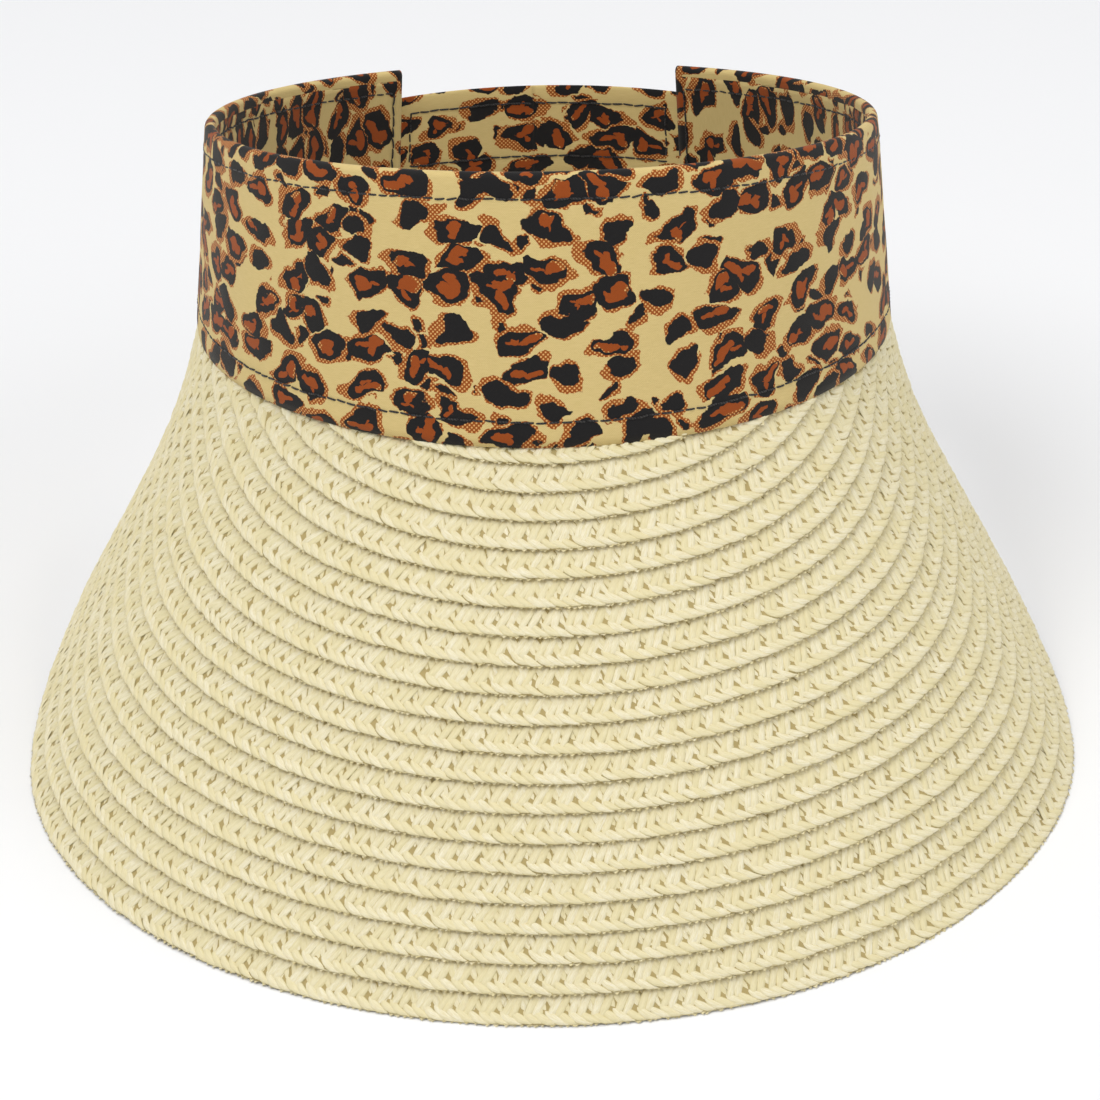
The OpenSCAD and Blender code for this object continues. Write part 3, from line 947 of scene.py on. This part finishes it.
cover = band_piece("headband_outer_fabric", cover_ring, CLOTH)
settle(cover, "visor", ["band_cover"], "cloth")
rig.sheet(cover, flat=(0.068, 0.487), held="stretched", rests_on=["band_stiffener"], area=0.0279)
lining = band_piece("headband_lining", lining_ring, LINING)
settle(lining, "visor", ["band_lining"], "lining")
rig.sheet(lining, flat=(0.061, 0.475), held="stretched", rests_on=["band_stiffener"], area=0.0239)


# ---------- strap fabric ----------

STRAP_MID = STRAP_Z + STRAP_W / 2
STRAP_SAG = 1.7
HALF_POINTS = 25


def strap_sag(t, share):
    """How far the free strap's lower part hangs down between the band's ends."""
    return STRAP_SAG * (1 - share) / 2 * ramp((360 - 2 * BAND_END - 2 * np.abs(t - 180)) / 9)


def strap_piece(name, start, stop, rounded):
    """A stretch of the strap: a flat strip with soft edges, with rounded corners at its free end."""
    t = np.linspace(start, stop, int(abs(float(band_length(start) - band_length(stop)))) + 1)
    corner = 5.0
    if rounded:
        t = np.concatenate([t[:-1], TAB_END + np.array([0.6, 0.3, 0.12, 0.02])])
    share = sin(np.linspace(-90, 90, HALF_POINTS))
    ring_share = np.concatenate([share, share[::-1][1:-1]])[None, :]
    ring_face = np.concatenate([np.ones(HALF_POINTS), -np.ones(HALF_POINTS - 2)])[None, :]
    into = np.clip(corner - (t - TAB_END) * math.pi / 180 * BAND_D, 0, corner)[:, None]
    up = (
        STRAP_MID + ring_share * (STRAP_W / 2 - (corner - np.sqrt(corner**2 - into**2)))
        - strap_sag(t[:, None], ring_share)
    )
    swell = STRAP_T / 2 * np.sqrt(np.clip(1 - np.abs(ring_share) ** 10, 0, 1))
    dip = 0.16 * np.exp(-(((np.abs(ring_share) * STRAP_W / 2 - STRAP_W / 2 + STRAP_SEAM) / 0.6) ** 2))
    out = strap_level(t)[:, None] + STRAP_T / 2 + ring_face * (swell - dip)
    uv = np.stack(np.broadcast_arrays(band_length(t)[:, None], up), -1)
    n, rows = ring_share.shape[1], len(t)
    i = np.arange(1, HALF_POINTS - 2)
    cap = np.stack([i, i + 1, n - i - 1, n - i], -1)
    parts = [grid_quads(rows, n, wrap=True)[:, ::-1], cap, cap[:, ::-1] + (rows - 1) * n]
    return mesh_object(name, placed(wall(t[:, None], up, out)), np.concatenate(parts), uv, None, STRAP_CLOTH)


STRAP_SEAM = 4.5
STRAP_SPLIT = 181.0
strap_sewn = strap_piece("strap_sewn_half", ROOT_START, STRAP_SPLIT, False)
strap_free = strap_piece("strap_free_half", STRAP_SPLIT, TAB_END, True)


def on_wall(t, up, out):
    return Vector(placed(wall(t, up, out)).ravel().tolist())


ROOT_BEND = (on_wall(SPAN_START + 1.2, STRAP_MID, 1.0), on_wall(SPAN_START - 1.6, STRAP_MID, 1.0))
TAB_BEND = (on_wall(SPAN_END + 1.6, STRAP_MID, 2.0), on_wall(SPAN_END - 1.6, STRAP_MID, 2.0))


def bend(piece, a, b, ends, nodes, slot):
    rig.blend(piece, a, b, *ends)
    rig.replaces(piece, *nodes)
    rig.slot(piece, slot)


bend(strap_sewn, "visor", "strap", ROOT_BEND, ["strap_root", "strap_span"], "cloth")
bend(strap_free, "strap", "tab", TAB_BEND, ["strap_tab"], "cloth")
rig.sheet(strap_sewn, flat=(0.023, 0.0554), held="stretched", rests_on=[cover])
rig.sheet(strap_free, flat=(0.023, 0.0887), held="stretched", rests_on=[cover])


# ---------- stitching ----------


def tube(build, centre, normal, radius, run, sides=6):
    """Separate threads: centre and normal are (threads, stations, 3) in the level frame, in millimetres."""
    count, n, _ = centre.shape
    along = np.gradient(centre, axis=1)
    along /= np.linalg.norm(along, axis=-1, keepdims=True)
    side = np.cross(along, normal)
    side /= np.linalg.norm(side, axis=-1, keepdims=True)
    up = np.cross(side, along)
    ang = (np.arange(sides) * 360 / sides)[None, None, :, None]
    r = radius[:, :, None, None]
    p = centre[:, :, None, :] + r * (side[:, :, None, :] * cos(ang) + up[:, :, None, :] * sin(ang))
    uv = np.stack(np.broadcast_arrays(run[:, :, None], ang[..., 0] / 360), -1)
    build.add(p, many_grids(count, n, sides, wrap=True), uv, 0.5)


SHAPE = np.linspace(-1, 1, 8)


def stitch_line(build, length, point, rng, step=2.9, gap=0.14, radius=0.25, sink=0.34, lift=0.14, sway=0.10):
    """A line of stitches; point(s, side, height) gives places at a distance along it."""
    count = max(1, int(round(length / step)))
    mid = (np.arange(count) + 0.5) * length / count
    half = (length / count - gap) / 2
    s = mid[:, None] + SHAPE[None, :] * half
    lean_by = rng.normal(0, sway, (count, 1)) * SHAPE[None, :]
    side = 0.08 * np.sin(s * 0.31) + 0.06 * np.sin(s * 0.83 + 1.0) + lean_by
    rise = lift - sink * np.abs(SHAPE) ** 5
    rise = np.broadcast_to(rise[None, :], s.shape) + rng.normal(0, 0.015, (count, 1))
    centre = point(s, side, rise)
    normal = point(s, side, rise + 1.0) - centre
    fat = np.broadcast_to(radius * (1 - 0.35 * np.abs(SHAPE[None, :]) ** 6), s.shape)
    tube(build, centre, normal, fat, s)


def wall_line(t0, t1, up_of, face, out_of=None):
    """A path round the band at a height above its lower edge; face is 1 outside and -1 inside."""
    a, b = float(band_length(t0)), float(band_length(t1))

    def point(s, side, height):
        t = band_angle(a + s * np.sign(b - a))
        up = up_of(t) + side
        if out_of is not None:
            return wall(t, up, out_of(t) + face * height)
        pull = face_pull(t, up, band_slant(t) - CROWN)
        return wall(t, up, (pull if face > 0 else -WALL_T - pull) + face * (height + 0.04))

    return abs(b - a), point


def upright_line(t, low, high, face, out_of=None):
    """A path straight up the band at one angle."""

    def point(s, side, height):
        up = low + s
        at = t + side / (BAND_W * math.pi / 180)
        if out_of is not None:
            return wall(at, up, out_of(at) + face * height)
        pull = face_pull(at, up, band_slant(at) - CROWN)
        return wall(at, up, (pull if face > 0 else -WALL_T - pull) + face * (height + 0.1))

    return high - low, point


def low_seam(t):
    return STITCH_INSET + 0 * t


def high_seam(t):
    return band_slant(t) - STITCH_INSET


def thread_piece(name, lines, seed, material, **shape):
    build = Build()
    rng = np.random.default_rng(seed)
    for length, point in lines:
        stitch_line(build, length, point, rng, **shape)
    return build.make(name, material)


STOP = BAND_END - END_INSET
for name, seam, seed in (("topstitch_upper", high_seam, 11), ("topstitch_lower", low_seam, 12)):
    lines = [wall_line(-STOP, STOP, seam, face) for face in (1, -1)]
    settle(thread_piece(f"{name}_thread", lines, seed, BLACK_THREAD), "visor", [name], "thread")
for name, sign, seed in (("end_stitch_left", -1, 13), ("end_stitch_right", 1, 14)):
    at = sign * STOP
    lines = [
        upright_line(at, STITCH_INSET + 0.4, float(band_slant(at)) - STITCH_INSET - 0.4, face)
        for face in (1, -1)
    ]
    settle(thread_piece(f"{name}_thread", lines, seed, BLACK_THREAD), "visor", [name], "thread")


def strap_edge(sign):
    share = sign * (1 - 2 * STRAP_SEAM / STRAP_W)
    return lambda t: STRAP_MID + share * STRAP_W / 2 - strap_sag(t, share)


def strap_outer(t):
    return strap_level(t) + STRAP_T - 0.1


def strap_inner(t):
    return strap_level(t) + 0.1


STRAP_LOW, STRAP_HIGH = STRAP_Z + STRAP_SEAM, STRAP_Z + STRAP_W - STRAP_SEAM
sewn_lines = [
    wall_line(ROOT_START - 2, STRAP_SPLIT + 0.3, strap_edge(sign), 1, strap_outer)
    for sign in (-1, 1)
]
sewn_lines += [
    wall_line(SPAN_START - 3, STRAP_SPLIT + 0.3, strap_edge(sign), -1, strap_inner)
    for sign in (-1, 1)
]
sewn_lines += [
    upright_line(t, STRAP_LOW, STRAP_HIGH, 1, strap_outer)
    for t in (ROOT_START - 2, SPAN_START + 2.5)
]
sewn_lines += [upright_line(SPAN_START - 3, STRAP_LOW, STRAP_HIGH, -1, strap_inner)]
free_lines = [wall_line(STRAP_SPLIT - 0.3, TAB_END + 3, strap_edge(sign), 1, strap_outer) for sign in (-1, 1)]
free_lines += [
    wall_line(STRAP_SPLIT - 0.3, SPAN_END + 1.8, strap_edge(sign), -1, strap_inner)
    for sign in (-1, 1)
]
free_lines += [upright_line(t, STRAP_LOW, STRAP_HIGH, 1, strap_outer) for t in (TAB_END + 3, SPAN_END - 3.5)]
free_lines += [upright_line(SPAN_END + 1.8, STRAP_LOW, STRAP_HIGH, -1, strap_inner)]
bend(
    thread_piece("strap_sewn_thread", sewn_lines, 15, BLACK_THREAD), "visor", "strap", ROOT_BEND,
    ["root_stitch", "span_stitch"], "thread",
)
bend(
    thread_piece("strap_free_thread", free_lines, 16, BLACK_THREAD), "strap", "tab", TAB_BEND,
    ["tab_stitch"], "thread",
)


# The brim's seams: a line of stitches under each overlap.
seams = []
for k in range(1, FULL_ROWS):
    row = Row(k)
    edge = float(np.interp(rib_angle(row.out + PITCH + 3.5), row.t, row.s))

    def seam_point(s, side, height, row=row, edge=edge):
        v = np.full_like(s, PITCH + ROW_OVERLAP / 2) + side
        return row.point(s - edge, v, -height - 0.05)

    seams.append((2 * edge, seam_point))
settle(
    thread_piece("brim_seam_thread", seams, 17, STRAW_THREAD, step=4.2, gap=0.5, radius=0.2, sink=0.5),
    "visor", ["brim_stitching"], "straw_thread",
)


# ---------- hook and loop tapes ----------


def tape_piece(name, t0, t1, out_of, thick, face, tuft, seed):
    """A woven tape with rows of tiny hooks or loops on one face; face is the side that they stand on."""
    build = Build()
    rng = np.random.default_rng(seed)
    low, high = STRAP_MID - TAPE_W / 2, STRAP_MID + TAPE_W / 2
    t = np.linspace(t0, t1, 30)
    ring_up = np.array([low, low + 0.3, high - 0.3, high, high, high - 0.3, low + 0.3, low])[None, :]
    ring_out = np.array([0.2, 0, 0, 0.2, thick - 0.2, thick, thick, thick - 0.2])[None, :]
    up, out = np.broadcast_arrays(ring_up, out_of(t)[:, None] + ring_out)
    uv = np.stack(np.broadcast_arrays(band_length(t)[:, None], up), -1)
    order = grid_quads(len(t), 8, wrap=True)
    build.add(wall(t[:, None], up, out), np.concatenate([order, end_caps(8, len(t))[:, ::-1]]), uv, -0.2)
    span = abs(float(band_length(t1) - band_length(t0)))
    across, along = int((TAPE_W - 2.4) / 0.8), int((span - 1.6) / 0.8)
    i, j = np.meshgrid(np.arange(across), np.arange(along), indexing="ij")
    u0 = (float(band_length(min(t0, t1))) + 0.8 + 0.8 * j + rng.normal(0, 0.05, i.shape)).ravel()
    v0 = (low + 1.2 + 0.8 * i + rng.normal(0, 0.05, i.shape)).ravel()
    bow = np.linspace(0, 1, 6)[None, :]
    du = (bow - 0.5) * 0.55
    rise = tuft * sin(bow * (180 if tuft < 0.25 else 150))
    base = out_of(band_angle(u0))[:, None] + (thick if face > 0 else 0)

    def at(lift_by):
        return wall(
            band_angle(u0[:, None] + du), v0[:, None] + 0.15 * du, base + face * (rise - 0.03 + lift_by)
        )

    centre = at(0.0)
    tube(
        build, centre, at(1.0) - centre, np.full(centre.shape[:2], 0.07),
        np.broadcast_to(bow, centre.shape[:2]), sides=4,
    )
    return build.make(name, TAPE)


def hook_level(t):
    return np.full_like(t, STRAP_OUT - THREAD_GAP - HOOK_T)


def loop_level(t):
    return np.full_like(t, LAYER_GAP)


hooks = tape_piece(
    "hook_tape_hooks", BAND_END - TAPE_MARGIN, TAB_END + TAPE_MARGIN, hook_level, HOOK_T, -1, 0.26, 21
)
settle(hooks, "tab", ["hook_tape"], "tape")
loops = tape_piece(
    "loop_tape_loops", BAND_END - 2 * TAPE_MARGIN, TAB_END - TAPE_MARGIN, loop_level, LOOP_T, 1, 0.2, 22
)
settle(loops, "visor", ["loop_tape"], "tape")
tape_edges = (STRAP_MID - TAPE_W / 2 + LOOP_STITCH_INSET, STRAP_MID + TAPE_W / 2 - LOOP_STITCH_INSET)
loop_lines = [
    wall_line(
        BAND_END - 3 * TAPE_MARGIN, TAB_END, lambda t, e=e: e + 0 * t, 1,
        lambda t: LAYER_GAP + LOOP_T + 0 * t,
    )
    for e in tape_edges
]
settle(
    thread_piece("loop_tape_thread", loop_lines, 23, BLACK_THREAD, radius=0.14, sink=0.3, lift=0.05),
    "visor", ["loop_stitch"], "thread",
)

board = frame["nodes"]["band_stiffener"].data.materials
board.clear()
board.append(BOARD)


# ---------- camera, light and floor ----------

CAM_D, CAM_E, CAM_YAW, CAM_PITCH, CAM_PAN, CAM_ROLL, CAM_F = (
    1050.0, 18.746, -0.309, 3.279, -0.038, -0.828, 4171.0
)


def camera():
    """The camera at the picture's viewing angle, set in the headband's level frame and tipped with it."""
    place = (
        np.array([CAM_D * sin(CAM_YAW) * cos(CAM_E), -CAM_D * cos(CAM_YAW) * cos(CAM_E), CAM_D * sin(CAM_E)])
    )
    va, ve = CAM_YAW + CAM_PAN, CAM_E + CAM_PITCH
    look = np.array([-sin(va) * cos(ve), cos(va) * cos(ve), -sin(ve)])
    right = np.cross(look, [0, 0, 1])
    right /= np.linalg.norm(right)
    up = np.cross(right, look)
    right, up = cos(CAM_ROLL) * right + sin(CAM_ROLL) * up, cos(CAM_ROLL) * up - sin(CAM_ROLL) * right
    data = bpy.data.cameras.new("camera")
    data.sensor_width = 36.0
    data.lens = CAM_F / 1100 * 36.0
    data.clip_start, data.clip_end = 0.05, 50
    o = bpy.data.objects.new("camera", data)
    bpy.context.scene.collection.objects.link(o)
    m = Matrix(np.stack([tipped(v) for v in (right, up, -look)], 1).tolist()).to_4x4()
    m.translation = Vector(placed(place).tolist())
    o.matrix_world = m
    bpy.context.scene.camera = o


def area_light(name, place, size, power):
    data = bpy.data.lights.new(name, "AREA")
    data.shape, data.size, data.energy = "SQUARE", size, power
    o = bpy.data.objects.new(name, data)
    bpy.context.scene.collection.objects.link(o)
    o.location = place
    o.rotation_mode = "QUATERNION"
    o.rotation_quaternion = (Vector((0, -0.02, 0.07)) - Vector(place)).to_track_quat("-Z", "Y")


camera()
area_light("key", (-0.75, -0.7, 1.5), 0.9, 12)
area_light("fill", (1.1, -0.6, 1.0), 1.1, 5)
area_light("top", (0.1, 0.3, 1.7), 1.2, 8)

world = bpy.data.worlds.new("soft_world")
bpy.context.scene.world = world
world.use_nodes = True
world.node_tree.nodes["Background"].inputs[0].default_value = (0.96, 0.97, 1.0, 1)
world.node_tree.nodes["Background"].inputs[1].default_value = 0.5

floor_mesh = bpy.data.meshes.new("floor")
floor_mesh.from_pydata([(-4, -4, 0), (4, -4, 0), (4, 4, 0), (-4, 4, 0)], [], [(0, 1, 2, 3)])
floor = bpy.data.objects.new("floor", floor_mesh)
bpy.context.scene.collection.objects.link(floor)
floor_mesh.materials.append(Nodes("pale_floor").finish((0.92, 0.92, 0.92), 0.7, specular=0.2))
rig.stage(floor)
bpy.context.scene.view_settings.view_transform = "Standard"

with open("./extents.json", "w") as f:
    json.dump({"cad": [list(c) for c in CAD_BOX], "visual": [list(c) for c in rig.bounds()]}, f)
